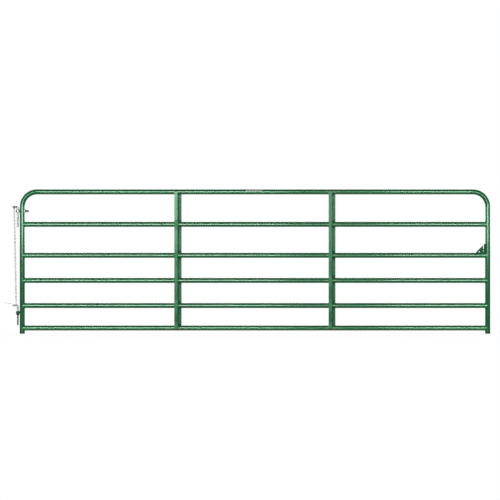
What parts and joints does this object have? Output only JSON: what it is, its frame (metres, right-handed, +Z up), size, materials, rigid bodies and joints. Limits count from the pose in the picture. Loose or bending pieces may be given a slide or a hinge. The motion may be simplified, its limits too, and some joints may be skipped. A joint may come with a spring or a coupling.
{
  "type": "tube gate",
  "caption": "Wide green field gate of welded round tube with upright Z braces, hung on L-shaped hinge hooks, with a slotted latch gusset and a hanging latch chain.",
  "frame": {"origin": "centre of the flat post end of the lower hinge hook", "axes": "+X along the gate from the hinge side to the latch side, +Z up, -Y the front in the picture"},
  "size_m": [4.274, 0.0556, 1.27],
  "materials": {
    "enamel": "gloss green enamel on steel",
    "zinc": "bright zinc plate",
    "nylon": "natural nylon"
  },
  "bodies": {
    "post_hooks": {"upper_hook": "zinc", "lower_hook": "zinc", "hook_nut": "zinc", "chain_ring": "zinc", "chain_face_links": "zinc", "chain_edge_links": "zinc", "chain_tie": "nylon"},
    "gate_leaf": {"hinge_stile": "enamel", "top_rail": "enamel", "latch_stile": "enamel", "second_rail": "enamel", "third_rail": "enamel", "fourth_rail": "enamel", "fifth_rail": "enamel", "bottom_rail": "enamel", "left_brace": "enamel", "right_brace": "enamel", "latch_gusset": "enamel", "hinge_eye_bolt": "zinc", "eye_bolt_washer": "zinc", "eye_bolt_nut": "zinc", "lower_hinge_collar": "enamel"}
  },
  "joints": [
    {"name": "gate_swing", "type": "hinge", "parent": "post_hooks", "child": "gate_leaf", "pos_m": [0.046, 0, 0], "axis": [0, 0, 1], "range_deg": [-90, 90]}
  ]
}
